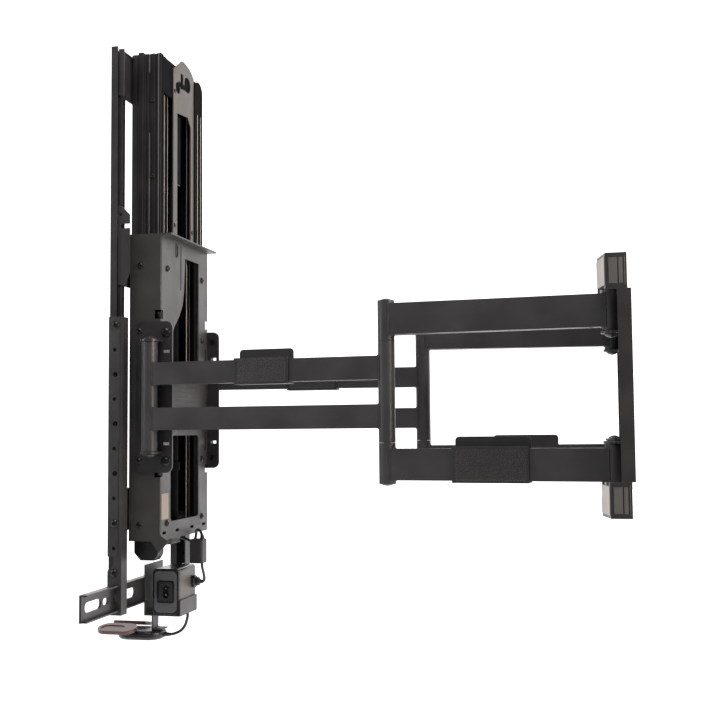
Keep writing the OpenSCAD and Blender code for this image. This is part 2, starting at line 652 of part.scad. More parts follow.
// A cross bar with folded ends, joined to both front slides
module cross_bar(z0, z1) { difference() {
    union() {
        slab(-cross_x, cross_x, front_front, cross_front, z0, z1);
        both() slab(cross_x - bar_t, cross_x, cross_front - cross_d, cross_front, z0, z1);
        slab(-cross_x, cross_x, cross_front - 4, cross_front, z1 - bar_t, z1);
    }
    both() slab(front_slide_x - slide_w / 2, front_slide_x + slide_w / 2, front_back, front_front,
        z0 - 1, z1 + 1);
} }
upper_bar_h = 64;
middle_bar_z = 148;
middle_bar_h = 75;
lower_bar_h = 56;
bar_ear_h = 27;
module upper_cross_bar() { color(black) cross_bar(rail_top - 3 - upper_bar_h, rail_top - 3); }
// The middle bar's ends have a bolted ear above a notch, and taper below
module bar_end() { translate([cross_x - bar_t, 0, middle_bar_z + middle_bar_h]) rotate([90, 0, 90])
    linear_extrude(bar_t) difference() {
        polygon([[-cross_front, bar_ear_h + 4], [-cross_front + 4, bar_ear_h + 4],
            [-cross_front + 17, bar_ear_h - 9], [-cross_front + 17, 6], [-cross_front + 4, 6],
            [-cross_front + 4, 0], [-cross_front + 17, 0], [-cross_front + 17, -60],
            [-cross_front + 11, -middle_bar_h], [-cross_front, -middle_bar_h]]);
        translate([-cross_front + 4, 19]) circle(r = 2.2);
    }
}
module middle_cross_bar() { color(black) {
    cross_bar(middle_bar_z, middle_bar_z + middle_bar_h - 11);
    both() bar_end();
} }
module lower_cross_bar() { color(black)
    cross_bar(-column_bottom + 8, -column_bottom + 8 + lower_bar_h); }
// A screen rail, open towards the wall, with its bolt holes and a fin above the side strip
strip_top = 105;
fin_x = 4;
fin_d = 5;
module tv_rail() { translate([rail_pitch / 2, 0, 0]) {
    difference() {
        slab(-rail_w / 2, rail_w / 2, rail_back, rail_front, -rail_bottom, rail_top);
        slab(-rail_w / 2 + 2, rail_w / 2 - 2, rail_back - 1, rail_front - 2, -rail_bottom - 1, rail_top + 1);
        for (z = [-200, -100, 100, 200])
            rod_y(0, rail_back, rail_front + 1, screen_mid + z, screen_hole_r);
        // Notch for the slotted bar
        slab(-rail_w / 2 - 1, rail_w / 2 + 1, rail_back - 1, bar_front,
            bar_z - bar_h / 2, bar_z + bar_h / 2);
    }
    // The fin is interrupted where a cross bar is
    stops = [strip_top + 1, middle_bar_z - 1, middle_bar_z + middle_bar_h + bar_ear_h + 5,
        rail_top - 4 - upper_bar_h];
    for (k = [0, 2]) slab(fin_x, fin_x + bar_t, rail_back - fin_d, rail_front - 1, stops[k], stops[k + 1]);
} }
module near_tv_rail() { color(black) tv_rail(); }
module far_tv_rail() { color(black) mirror([1, 0, 0]) tv_rail(); }
// A bolted side strip with its row of holes, the slotted bar's opening and a return flange at the back
strip_low = -207;
ear_z = -228;
strip_return = 17;
module side_strip() {
    translate([strip_x - strip_t, 0, 0]) rotate([90, 0, 90]) linear_extrude(strip_t) difference() {
        front = -strip_y - strip_front;
        back = -strip_y + strip_back;
        polygon([[front, strip_low], [front, strip_top], [back, strip_top], [back, -rail_bottom],
            [front, -rail_bottom], [front, ear_z + 2], [front + 2, ear_z + 6], [front + 7, ear_z + 9],
            [front + 8.5, ear_z + 12], [front + 8.5, strip_low]]);
        translate([-bar_front, bar_z - bar_h / 2]) square([bar_front - bar_back, bar_h]);
        for (s = [-1, 1])
            translate([-bar_front, bar_z + s * (bar_h / 2 - 1) - 1]) square([bar_flange, 2]);
        for (k = [0:4]) translate([-strip_y, strip_z - k * strip_pitch]) circle(r = strip_hole_r);
        for (k = [0:4])
            translate([-strip_y - 1, strip_z - (k + 0.5) * strip_pitch]) circle(r = strip_hole_r - 0.8);
        translate([-strip_y, ear_z]) circle(r = strip_hole_r);
    }
    slab(strip_x - strip_return, strip_x, strip_y - strip_back, strip_y - strip_back + bar_t,
        -rail_bottom, strip_top);
}
module near_side_strip() { color(dark) side_strip(); }
module far_side_strip() { color(dark) mirror([1, 0, 0]) side_strip(); }
module strip_bolts() { color(black) both() for (z = [strip_z, strip_z - 4 * strip_pitch, ear_z]) {
    rod_x(strip_x - strip_t, strip_x, strip_y, z, 3);
    translate([strip_x, -strip_y, z]) rotate([0, 90, 0]) button(5.2, 3);
} }

// Slotted bar with the power supply and the sensor, folded along both edges and let into the near rail
wide_slots = [75, 173.5];
short_slots = [121, 139.8];
module slotted_bar() { color(black) difference() {
    union() {
        slab(-bar_far, bar_reach, bar_back, bar_front, bar_z - bar_h / 2, bar_z + bar_h / 2);
        for (s = [-1, 1]) slab(box_near + 4, bar_reach - 2, bar_front - bar_flange, bar_front,
            bar_z + s * (bar_h / 2 - 1) - 1, bar_z + s * (bar_h / 2 - 1) + 1);
    }
    for (x = wide_slots) slot_y(x, bar_z, bar_back - 4, bar_front + 1, 43, 13);
    for (x = short_slots) slot_y(x, bar_z, bar_back - 4, bar_front + 1, 15, 9);
} }
module power_tray() { color(dark) translate([box_x, 0, 0]) {
    slab(-box_w / 2, box_w / 2, tray_front - tray_t, tray_front, tray_floor, bar_z + bar_h / 2 + 15);
    slab(-box_w / 2, box_w / 2, box_back - 0.5 - tray_t, tray_front, tray_floor, tray_floor + tray_t);
    slab(-box_w / 2, box_w / 2, box_back - 0.5 - tray_t, box_back - 0.5, tray_floor, tray_floor + 22);
} }
// Case of the power supply with a socket in one end and a cable gland on its back
module power_box() { color("#3c3b3b") {
    difference() {
        translate([box_x - box_w / 2, -box_mid_y, box_low + box_h / 2]) rotate([90, 0, 90])
            linear_extrude(box_w) round_rect(box_d, box_h, 4.5);
        translate([box_near - inlet_deep, -box_mid_y, box_low + box_h / 2]) rotate([90, 0, 90])
            linear_extrude(inlet_deep + 1) round_rect(inlet_w, inlet_h, 3);
    }
    rod_y(plug[0], box_back - plug_len / 2, box_back + eps, plug[1], 8.5);
    rod_y(plug[0], box_back - plug_len, box_back + eps, plug[1], 6);
} }
module power_inlet() { color(black) difference() {
    translate([box_near - inlet_deep, -box_mid_y, box_low + box_h / 2]) rotate([90, 0, 90])
        linear_extrude(inlet_deep + 0.6) round_rect(inlet_w, inlet_h, 3);
    translate([box_near - inlet_deep + 2, -box_mid_y, box_low + box_h / 2]) rotate([90, 0, 90])
        linear_extrude(inlet_deep + 1) {
            for (s = [-1, 1]) translate([0, s * 4.3]) circle(r = 4.6);
            square([8, 8.6], center = true);
        }
} }
module inlet_pins() { color("silver") for (s = [-1, 1])
    rod_x(box_near - inlet_deep + 2, box_near - 1, box_mid_y, box_low + box_h / 2 + s * 4.3, 1.2); }
module inline_block() { color(black) translate([block_x, -block_y, block_z[0]])
    linear_extrude(block_z[1] - block_z[0]) round_rect(20, 20, 4); }
module box_lead() { color(black) lead(routed(box_lead_path), lead_d / 2); }
module column_lead() { color(black) lead(routed(column_lead_path), lead_d / 2); }
module lead_clamp() { color(black) {
    slab(clamp_x[0], clamp_x[1], carriage_back + 29, cross_front, clamp_z[0], clamp_z[1]);
    slab(clamp_x[0], clamp_x[1], front_front, cross_front, clamp_z[0], -column_bottom + 8);
} }
tab_h = 20;
sensor_y = tray_front + 14;
sensor_w = 46;
sensor_len = 66;
sensor_h = 13;
lobe_x = 24;
lobe_y = sensor_y + 26;
lobe_w = 30;
lobe_len = 56;
lobe_t = 5;
lobe_lift = 0.5;
lobe_tilt = 12;
module sensor_tab() { color(dark) {
    slab(-10, 10, tray_front - 6, tray_front - 4, tray_floor - tab_h, tray_floor);
    slab(-10, 10, tray_front - 20, tray_front - 4, tray_floor - tab_h - 2, tray_floor - tab_h);
} }
module sensor_body() { color(black) translate([0, -sensor_y, tray_floor - tab_h - 2]) mirror([0, 0, 1])
    linear_extrude(sensor_h) round_rect(sensor_w, sensor_len, 21); }
// Two flat lobes with a shallow oval hollow on top
module sensor_lobes() { color("#5a4848") both() translate([lobe_x, -lobe_y, tray_floor - tab_h + lobe_lift])
    rotate([0, lobe_tilt, 0]) difference() {
        linear_extrude(lobe_t, center = true) round_rect(lobe_w, lobe_len, lobe_w / 2 - 0.1);
        translate([2, -6, lobe_t / 2 - 1.2]) linear_extrude(2) round_rect(18, 34, 8.9);
    } }
module sensor_lead() { color(black) lead(routed(sensor_lead_path), lead_d / 2); }

wall_plate();
upper_wall_cover();
lower_wall_cover();
near_wall_hinge();
far_wall_hinge();
wall_hinge_pins();
near_upper_arm_top();
near_upper_arm_bottom();
near_elbow_pin();
near_upper_arm_clip();
far_upper_arm_top();
far_upper_arm_bottom();
far_elbow_pin();
far_upper_arm_clip();
near_forearm();
near_forearm_clip();
far_forearm();
far_forearm_clip();
carriage_shell();
carriage_slides();
near_head_hinge();
far_head_hinge();
head_hinge_pins();
carriage_bolts();
blank_label();
actuator_tube();
actuator_bracket();
motor_cap();
column_rails();
column_foot();
gable_plate();
column_end_plates();
actuator_rod();
belt_cover();
lift_belts();
pulley_axles();
upper_pulleys();
lower_pulleys();
front_slides();
upper_cross_bar();
middle_cross_bar();
lower_cross_bar();
near_tv_rail();
far_tv_rail();
near_side_strip();
far_side_strip();
strip_bolts();
slotted_bar();
power_tray();
power_box();
power_inlet();
inlet_pins();
inline_block();
box_lead();
column_lead();
lead_clamp();
sensor_tab();
sensor_body();
sensor_lobes();
sensor_lead();
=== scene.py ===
"""Looks of the pull-down television wall mount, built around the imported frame.

Powder-coated steel arms, lift and rails, moulded clips and covers, rubber leads,
belts with teeth, welds and fasteners. Metres, in the part's own frame.
"""

import json
import math

import bmesh
import bpy
from mathutils import Matrix, Vector

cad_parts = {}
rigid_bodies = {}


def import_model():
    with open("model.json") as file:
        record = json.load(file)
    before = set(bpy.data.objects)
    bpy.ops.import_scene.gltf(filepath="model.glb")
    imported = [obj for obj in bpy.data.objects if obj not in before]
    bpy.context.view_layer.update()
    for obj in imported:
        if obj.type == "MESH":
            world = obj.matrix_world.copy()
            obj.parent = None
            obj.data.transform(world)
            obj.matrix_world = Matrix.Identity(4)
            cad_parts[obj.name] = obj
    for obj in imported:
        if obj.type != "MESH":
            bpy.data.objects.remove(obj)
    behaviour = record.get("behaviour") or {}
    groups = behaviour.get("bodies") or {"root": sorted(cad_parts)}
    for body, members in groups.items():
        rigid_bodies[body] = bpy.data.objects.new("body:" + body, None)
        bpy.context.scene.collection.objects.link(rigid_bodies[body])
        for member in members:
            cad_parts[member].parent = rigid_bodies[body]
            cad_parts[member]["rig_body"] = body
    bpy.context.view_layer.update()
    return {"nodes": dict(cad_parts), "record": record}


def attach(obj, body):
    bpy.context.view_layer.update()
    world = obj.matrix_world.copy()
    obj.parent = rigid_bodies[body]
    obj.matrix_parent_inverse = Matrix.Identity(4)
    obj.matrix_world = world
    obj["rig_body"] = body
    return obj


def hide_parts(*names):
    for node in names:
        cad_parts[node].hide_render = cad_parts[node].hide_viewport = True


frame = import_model()
scene = bpy.context.scene
MM = 0.001

# Sizes that the pieces share with the part's source: arms with their pivots, then the layers in front
UPPER_LEN, FORE_LEN = 0.2685, 0.324
WALL_X, WALL_Y, ELBOW_X, HEAD_X = 0.150, 0.022, 0.128, 0.101
UPPER_TURN = math.asin((ELBOW_X - WALL_X) / UPPER_LEN)
FORE_TURN = math.asin((ELBOW_X - HEAD_X) / FORE_LEN)
ELBOW_Y = WALL_Y + UPPER_LEN * math.cos(UPPER_TURN)
HEAD_Y = ELBOW_Y + FORE_LEN * math.cos(FORE_TURN)
POST_R = 0.0103
# Width and height of an arm's tubes, and how far each lies from the middle
UPPER_TUBE = (0.018, 0.038, 0.088)
FORE_TUBE = (0.016, 0.029, 0.0295)
HEAD_SETBACK, PLATE_TO_COLUMN = 0.0076, 0.006
COLUMN_D, SLIDE_PLAY, FRONT_SLIDE_D, CROSS_BAR_T = 0.034, 0.0004, 0.008, 0.002
RAIL_NOTCH, SLOTTED_BAR_T = 0.0016, 0.003
CARRIAGE_BACK = HEAD_Y - HEAD_SETBACK
COLUMN_BACK = CARRIAGE_BACK + PLATE_TO_COLUMN
BELT_Y = COLUMN_BACK + COLUMN_D / 2
RAIL_BACK = COLUMN_BACK + COLUMN_D + SLIDE_PLAY + FRONT_SLIDE_D + CROSS_BAR_T
BAR_BACK = RAIL_BACK + RAIL_NOTCH - SLOTTED_BAR_T
SIDES = (("near", 1), ("far", -1))


# Camera, floor and light
CAMERA_AT, CAMERA_TURN = (1.40487, -0.02094, -0.046), (-0.232, 0.065, -0.009)
SENSOR_MM, LENS_MM = 36, 53.65


def make_camera():
    """The photograph's viewpoint: low on the near side, looking a little up and towards the screen."""
    yaw, pitch, roll = CAMERA_TURN
    ahead = Vector((-math.cos(yaw) * math.cos(pitch), math.sin(yaw) * math.cos(pitch), math.sin(pitch)))
    right = ahead.cross(Vector((0, 0, 1))).normalized()
    up = right.cross(ahead)
    across = math.cos(roll) * right + math.sin(roll) * up
    above = math.cos(roll) * up - math.sin(roll) * right
    data = bpy.data.cameras.new("photo_camera")
    data.sensor_width = SENSOR_MM
    data.lens = LENS_MM
    camera = bpy.data.objects.new("photo_camera", data)
    turn = Matrix((across, above, -ahead)).transposed().to_4x4()
    camera.matrix_world = Matrix.Translation(CAMERA_AT) @ turn
    scene.collection.objects.link(camera)
    scene.camera = camera


def glowing(name, strength):
    """An even white surface, so that the picture's ground stays pale at any distance."""
    material = bpy.data.materials.new(name)
    material.use_nodes = True
    surface = material.node_tree.nodes["Principled BSDF"]
    surface.inputs["Base Color"].default_value = (0.8, 0.8, 0.8, 1)
    surface.inputs["Roughness"].default_value = 1.0
    surface.inputs["Emission Color"].default_value = (1, 1, 1, 1)
    surface.inputs["Emission Strength"].default_value = strength
    return material


def make_stage():
    """A pale floor and backdrop, and soft light from large panels."""
    low, near, back, wide, high = -0.95, 1.0, -5.0, 12.0, 7.0
    sheets = {
        "floor": [(back, -wide, low), (near, -wide, low), (near, wide, low), (back, wide, low)],
        "backdrop": [(back, -wide, low), (back, wide, low), (back, wide, high), (back, -wide, high)],
    }
    for name, corners in sheets.items():
        mesh = bpy.data.meshes.new(name)
        mesh.from_pydata(corners, [], [(0, 1, 2, 3)])
        mesh.materials.append(glowing("pale_" + name, 0.92 if name == "backdrop" else 0.72))
        sheet = bpy.data.objects.new(name, mesh)
        scene.collection.objects.link(sheet)
    world = bpy.data.worlds.new("studio")
    world.use_nodes = True
    sky = world.node_tree.nodes["Background"]
    sky.inputs["Color"].default_value = (1, 1, 1, 1)
    sky.inputs["Strength"].default_value = 0.3
    scene.world = world
    panels = (
        ("key_panel", (1.3, -0.5, 2.0), (0.0, -0.4, 0.0), 1.2, 30, (1.0, 0.99, 0.98)),
        ("screen_panel", (0.9, -2.6, 0.7), (0.0, -0.6, 0.1), 1.2, 16, (0.97, 0.98, 1.0)),
        ("wall_side_panel", (0.5, 1.8, 0.5), (0.0, -0.6, 0.1), 1.3, 62, (1.0, 0.92, 0.84)),
    )
    for name, place, aim, size, power, colour in panels:
        data = bpy.data.lights.new(name, "AREA")
        data.size = size
        data.energy = power
        data.color = colour
        light = bpy.data.objects.new(name, data)
        light.location = place
        light.rotation_euler = (Vector(aim) - Vector(place)).to_track_quat("-Z", "Y").to_euler()
        scene.collection.objects.link(light)
    scene.view_settings.view_transform = "Standard"


make_camera()
make_stage()


# Materials
def shader(name):
    """A new material with its tree, its surface shader and its Object coordinates."""
    material = bpy.data.materials.new(name)
    material.use_nodes = True
    tree = material.node_tree
    place = tree.nodes.new("ShaderNodeTexCoord")
    return material, tree, tree.nodes["Principled BSDF"], place.outputs["Object"]


def noise(tree, place, size, detail=2.0, rough=0.5):
    """Noise whose blobs are about size metres across."""
    node = tree.nodes.new("ShaderNodeTexNoise")
    node.inputs["Scale"].default_value = 1 / size
    node.inputs["Detail"].default_value = detail
    node.inputs["Roughness"].default_value = rough
    tree.links.new(place, node.inputs["Vector"])
    return node.outputs["Fac"]


def spread(tree, value, low, high):
    """A value from low to high that follows a noise."""
    node = tree.nodes.new("ShaderNodeMapRange")
    node.inputs["From Min"].default_value = 0.3
    node.inputs["From Max"].default_value = 0.7
    node.inputs["To Min"].default_value = low
    node.inputs["To Max"].default_value = high
    tree.links.new(value, node.inputs["Value"])
    return node.outputs["Result"]


def tint(tree, value, dark, light):
    """A colour between two, picked by a noise."""
    node = tree.nodes.new("ShaderNodeMix")
    node.data_type = "RGBA"
    node.inputs["A"].default_value = (*dark, 1)
    node.inputs["B"].default_value = (*light, 1)
    tree.links.new(value, node.inputs["Factor"])
    return node.outputs["Result"]


def raise_by(tree, height, depth, strength, below=None):
    """A bump of depth metres, over another one if given."""
    node = tree.nodes.new("ShaderNodeBump")
    node.inputs["Distance"].default_value = depth
    node.inputs["Strength"].default_value = strength
    tree.links.new(height, node.inputs["Height"])
    if below:
        tree.links.new(below, node.inputs["Normal"])
    return node.outputs["Normal"]


def coat(name, colour, rough, grain=0.0005, depth=0.00008, metal=0.0, vary=0.16, sheen=0.0, gloss=0.5):
    """Powder coat, moulded plastic or rubber: a fine grain over a slow change of tone and gloss."""
    material, tree, surface, place = shader(name)
    slow = spread(tree, noise(tree, place, 0.045, 4.0), 0.0, 1.0)
    fine = noise(tree, place, grain, 3.0, 0.6)
    dark = [c * (1 - vary) for c in colour]
    light = [c * (1 + vary) for c in colour]
    tree.links.new(tint(tree, slow, dark, light), surface.inputs["Base Color"])
    tree.links.new(spread(tree, slow, rough - 0.05, rough + 0.05), surface.inputs["Roughness"])
    peel = raise_by(tree, noise(tree, place, grain * 7, 2.0), depth * 2, 0.35)
    tree.links.new(raise_by(tree, fine, depth, 0.7, peel), surface.inputs["Normal"])
    surface.inputs["Metallic"].default_value = metal
    surface.inputs["Sheen Weight"].default_value = sheen
    surface.inputs["Specular IOR Level"].default_value = gloss
    return material


def brushed(name, colour, rough):
    """Bright steel with fine lines along Z."""
    material, tree, surface, place = shader(name)
    stretch = tree.nodes.new("ShaderNodeMapping")
    stretch.inputs["Scale"].default_value = (1, 1, 0.02)
    tree.links.new(place, stretch.inputs["Vector"])
    lines = noise(tree, stretch.outputs["Vector"], 0.0004, 3.0)
    tree.links.new(spread(tree, lines, rough - 0.08, rough + 0.1), surface.inputs["Roughness"])
    tree.links.new(raise_by(tree, lines, 0.00004, 0.5), surface.inputs["Normal"])
    tree.links.new(tint(tree, lines, [c * 0.85 for c in colour], colour), surface.inputs["Base Color"])
    surface.inputs["Metallic"].default_value = 1.0
    return material


BLACK_COAT = coat("black_powder_coat", (0.022, 0.021, 0.021), 0.36)
DARK_COAT = coat("dark_powder_coat", (0.032, 0.030, 0.030), 0.42)
WARM_COAT = coat("warm_grey_coat", (0.062, 0.053, 0.046), 0.4)
MOULDED = coat("moulded_black_plastic", (0.020, 0.019, 0.019), 0.45, grain=0.0009, depth=0.00015)
SLICK = coat("slick_black_plastic", (0.010, 0.010, 0.010), 0.25, grain=0.0008)
COVER = coat("cover_plastic", (0.36, 0.31, 0.28), 0.45, grain=0.0008, depth=0.0001, vary=0.05)
COVER_END_COAT = coat("cover_end_panel", (0.10, 0.093, 0.088), 0.4, grain=0.0008)
CASE = coat("power_case_plastic", (0.055, 0.048, 0.042), 0.35, grain=0.0007, vary=0.08)
CASE_PLATE = coat("blank_rating_plate", (0.085, 0.074, 0.064), 0.4, grain=0.0005, vary=0.06)
CASE_END = coat("power_case_end", (0.085, 0.087, 0.095), 0.3, grain=0.0007, vary=0.06)
PADDLE = coat("smoky_paddle", (0.085, 0.040, 0.038), 0.22, grain=0.002, depth=0.00003, vary=0.1)
BELT = coat("belt_rubber", (0.018, 0.018, 0.018), 0.5, grain=0.0006)
SHEATH = coat("lead_sheath", (0.012, 0.012, 0.012), 0.35, grain=0.0007, sheen=0.1)
LABEL = coat("blank_label_paper", (0.30, 0.235, 0.185), 0.5, grain=0.0004, depth=0.00003, vary=0.05)
STEEL = brushed("brushed_steel", (0.6, 0.6, 0.61), 0.3)
# Painted highlight: a pale coat for thin strips that stand in for light glinting on the belt edges and on
# the ribs of the far cover
PAINTED_HIGHLIGHT = coat("painted_highlight_coat", (0.52, 0.47, 0.43), 0.35, vary=0.1)
# Matte near-black: the own colour of the black inner parts, and also painted shade on the rail backs and on
# the plate behind the gable window
DEEP = coat("deep_black", (0.004, 0.004, 0.004), 0.85, vary=0.1, gloss=0.06)
# Painted highlight, dimmer: a grey coat for lines that stand in for light along the rails' grooves
PAINTED_DIM_HIGHLIGHT = coat("painted_dim_highlight_coat", (0.20, 0.19, 0.18), 0.35, vary=0.1)
CARRIAGE_COAT = coat("carriage_coat", (0.040, 0.038, 0.037), 0.42)
GRIP = coat("grip_plastic", (0.034, 0.032, 0.031), 0.42, grain=0.0009, depth=0.00002, vary=0.05)
RAIL_COAT = coat("drawn_rail", (0.011, 0.0105, 0.0105), 0.42, vary=0.25, gloss=0.3)
BOLT = coat("black_oxide_bolt", (0.012, 0.012, 0.012), 0.28, metal=0.5, vary=0.1)
WELD = coat("coated_weld", (0.018, 0.017, 0.017), 0.5, grain=0.0016, depth=0.0004)

FINISH = {
    "black_steel": BLACK_COAT, "dark_steel": DARK_COAT, "warm_steel": WARM_COAT, "bright_steel": STEEL,
    "cover_plastic": COVER, "black_plastic": MOULDED, "box_plastic": CASE, "paddle_plastic": PADDLE,
    "belt_rubber": BELT, "lead_rubber": SHEATH, "label_paper": LABEL,
}
SLOT_OF = {s["node"]: s["material_slot"] for s in frame["record"]["subparts"]}


# Mesh helpers
def add_piece(name, mesh, body, material, smooth=True, replaced=()):
    """Puts a finished mesh into the scene as a piece that rides on a body."""
    mesh.materials.clear()
    mesh.materials.append(material)
    mesh.polygons.foreach_set("use_smooth", [smooth] * len(mesh.polygons))
    piece = bpy.data.objects.new(name, mesh)
    scene.collection.objects.link(piece)
    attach(piece, body)
    if replaced:
        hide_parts(*replaced)
    return piece


def keep_edges(piece, width, segments=2, angle=32):
    """Rounds every sharp edge a little, and keeps flat faces flat."""
    bevel = piece.modifiers.new("rounded_edges", "BEVEL")
    bevel.width = width
    bevel.segments = segments
    bevel.limit_method = "ANGLE"
    bevel.angle_limit = math.radians(angle)
    bevel.use_clamp_overlap = True
    even = piece.modifiers.new("flat_faces", "WEIGHTED_NORMAL")
    even.keep_sharp = True


def joined_copy(node):
    """The CAD node's mesh with its loose triangles joined and its flat faces made whole."""
    bm = bmesh.new()
    bm.from_mesh(frame["nodes"][node].data)
    bmesh.ops.remove_doubles(bm, verts=bm.verts, dist=2e-6)
    bmesh.ops.dissolve_limit(bm, angle_limit=math.radians(0.6), verts=bm.verts, edges=bm.edges)
    mesh = bpy.data.meshes.new(node + "_finished")
    bm.to_mesh(mesh)
    bm.free()
    return mesh


def soften(node, width, material=None, segments=2):
    """Stands for a CAD node with the same shape and rounded edges."""
    slot = SLOT_OF[node]
    piece = add_piece(node + "_finished", joined_copy(node), frame["nodes"][node]["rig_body"],
                      material or FINISH[slot], replaced=(node,))
    keep_edges(piece, width, segments)
    return piece


def recoat(node, material=None):
    """Gives a CAD node its material and leaves its shape alone."""
    piece = frame["nodes"][node]
    piece.data.materials.clear()
    piece.data.materials.append(material or FINISH[SLOT_OF[node]])


def tube(bm, path, radius, sides=10, closed=False):
    """Adds a round tube along a path, with its own even frame at each point."""
    path = [Vector(p) for p in path]
    count = len(path)
    rings = []
    side = None
    for i, point in enumerate(path):
        before = path[(i - 1) % count] if closed or i else point
        after = path[(i + 1) % count] if closed or i < count - 1 else point
        ahead = (after - before).normalized()
        if side is None:
            side = ahead.orthogonal().normalized()
        side = (side - ahead * side.dot(ahead)).normalized()
        other = ahead.cross(side)
        size = radius(i / max(1, count - 1)) if callable(radius) else radius
        rings.append([bm.verts.new(point + size * (math.cos(a) * side + math.sin(a) * other))
                      for a in (2 * math.pi * k / sides for k in range(sides))])
    last = count if closed else count - 1
    for i in range(last):
        one, two = rings[i], rings[(i + 1) % count]
        for k in range(sides):
            bm.faces.new((one[k], one[(k + 1) % sides], two[(k + 1) % sides], two[k]))
    if not closed:
        bm.faces.new(rings[0][::-1])
        bm.faces.new(rings[-1])


def block(bm, low, high):
    """Adds a box between two corners."""
    corners = [bm.verts.new((x, y, z)) for x in (low[0], high[0]) for y in (low[1], high[1])
               for z in (low[2], high[2])]
    for face in ((0, 1, 3, 2), (4, 6, 7, 5), (0, 4, 5, 1), (2, 3, 7, 6), (0, 2, 6, 4), (1, 5, 7, 3)):
        bm.faces.new([corners[k] for k in face])


def prism(bm, outline, low, high):
    """Adds an upright block of any outline between two levels."""
    one = [bm.verts.new((x, y, low)) for x, y in outline]
    two = [bm.verts.new((x, y, high)) for x, y in outline]
    bm.faces.new(one)
    bm.faces.new(two[::-1])
    for k in range(len(outline)):
        nxt = (k + 1) % len(outline)
        bm.faces.new((one[k], two[k], two[nxt], one[nxt]))


def done(bm, name, matrix=None):
    """Turns a bmesh into a mesh, placed and with its faces outward."""
    if matrix is not None:
        bmesh.ops.transform(bm, matrix=matrix, verts=bm.verts)
    bmesh.ops.recalc_face_normals(bm, faces=bm.faces)
    mesh = bpy.data.meshes.new(name)
    bm.to_mesh(mesh)
    bm.free()
    return mesh


def put(bm, name, body, material, smooth=True, replaced=(), matrix=None):
    """Turns a bmesh into a piece of the scene."""
    return add_piece(name, done(bm, name, matrix), body, material, smooth, replaced)


def smooth_path(points, steps):
    """A smooth curve through points, as a list of points."""
    points = [Vector(p) for p in points]
    ends = [points[0] * 2 - points[1]] + points + [points[-1] * 2 - points[-2]]
    path = []
    for i in range(1, len(ends) - 2):
        a, b, c, d = ends[i - 1:i + 3]
        for k in range(steps):
            t = k / steps
            path.append(0.5 * (2 * b + (c - a) * t + (2 * a - 5 * b + 4 * c - d) * t * t
                               + (3 * b - a - 3 * c + d) * t * t * t))
    return path + [points[-1]]


def upper_frame(sign):
    """From an upper arm's own frame, which runs along -Y, to the part's."""
    return (Matrix.Scale(sign, 4, (1, 0, 0)) @ Matrix.Translation((WALL_X, -WALL_Y, 0))
            @ Matrix.Rotation(UPPER_TURN, 4, "Z"))


def fore_frame(sign):
    """From a forearm's own frame, which runs along -Y, to the part's."""
    return (Matrix.Scale(sign, 4, (1, 0, 0)) @ Matrix.Translation((ELBOW_X, -ELBOW_Y, 0))
            @ Matrix.Rotation(-FORE_TURN, 4, "Z"))


def repeat_tree():
    """Geometry Nodes tree that sets copies of one shape on a flat grid of points."""
    tree = bpy.data.node_groups.new("repeat_on_grid", "GeometryNodeTree")
    face = tree.interface
    face.new_socket("Geometry", in_out="INPUT", socket_type="NodeSocketGeometry")
    for name, kind in (("Shape", "NodeSocketObject"), ("Along", "NodeSocketInt"),
                       ("Across", "NodeSocketInt"), ("Length", "NodeSocketFloat"),
                       ("Width", "NodeSocketFloat"), ("Finish", "NodeSocketMaterial")):
        face.new_socket(name, in_out="INPUT", socket_type=kind)
    face.new_socket("Geometry", in_out="OUTPUT", socket_type="NodeSocketGeometry")
    start = tree.nodes.new("NodeGroupInput")
    end = tree.nodes.new("NodeGroupOutput")
    grid = tree.nodes.new("GeometryNodeMeshGrid")
    shape = tree.nodes.new("GeometryNodeObjectInfo")
    place = tree.nodes.new("GeometryNodeInstanceOnPoints")
    real = tree.nodes.new("GeometryNodeRealizeInstances")
    finish = tree.nodes.new("GeometryNodeSetMaterial")
    for source, target in (("Length", grid.inputs["Size X"]), ("Width", grid.inputs["Size Y"]),
                           ("Along", grid.inputs["Vertices X"]), ("Across", grid.inputs["Vertices Y"]),
                           ("Shape", shape.inputs["Object"]), ("Finish", finish.inputs["Material"])):
        tree.links.new(start.outputs[source], target)
    tree.links.new(grid.outputs["Mesh"], place.inputs["Points"])
    tree.links.new(shape.outputs["Geometry"], place.inputs["Instance"])
    tree.links.new(place.outputs["Instances"], real.inputs["Geometry"])
    tree.links.new(real.outputs["Geometry"], finish.inputs["Geometry"])
    tree.links.new(finish.outputs["Geometry"], end.inputs["Geometry"])
    return tree


REPEAT = repeat_tree()


def repeat(shape_mesh, along, across, length, width, material, matrix):
    """Copies of a shape on a grid of along by across points, as one plain mesh."""
    shape = bpy.data.objects.new("repeated_shape", shape_mesh)
    carrier = bpy.data.objects.new("grid_carrier", bpy.data.meshes.new("grid_carrier"))
    for piece in (shape, carrier):
        scene.collection.objects.link(piece)
    modifier = carrier.modifiers.new("repeat", "NODES")
    modifier.node_group = REPEAT
    values = {"Shape": shape, "Along": along, "Across": across, "Length": length, "Width": width,
              "Finish": material}
    for item in REPEAT.interface.items_tree:
        if item.in_out == "INPUT" and item.name in values:
            modifier[item.identifier] = values[item.name]
    bpy.context.view_layer.update()
    mesh = bpy.data.meshes.new_from_object(carrier.evaluated_get(bpy.context.evaluated_depsgraph_get()))
    for piece in (shape, carrier):
        bpy.data.objects.remove(piece)
    mesh.transform(matrix)
    return mesh


def joined(name, meshes):
    """Several meshes as one, with faces outward."""
    bm = bmesh.new()
    for mesh in meshes:
        bm.from_mesh(mesh)
    return done(bm, name)


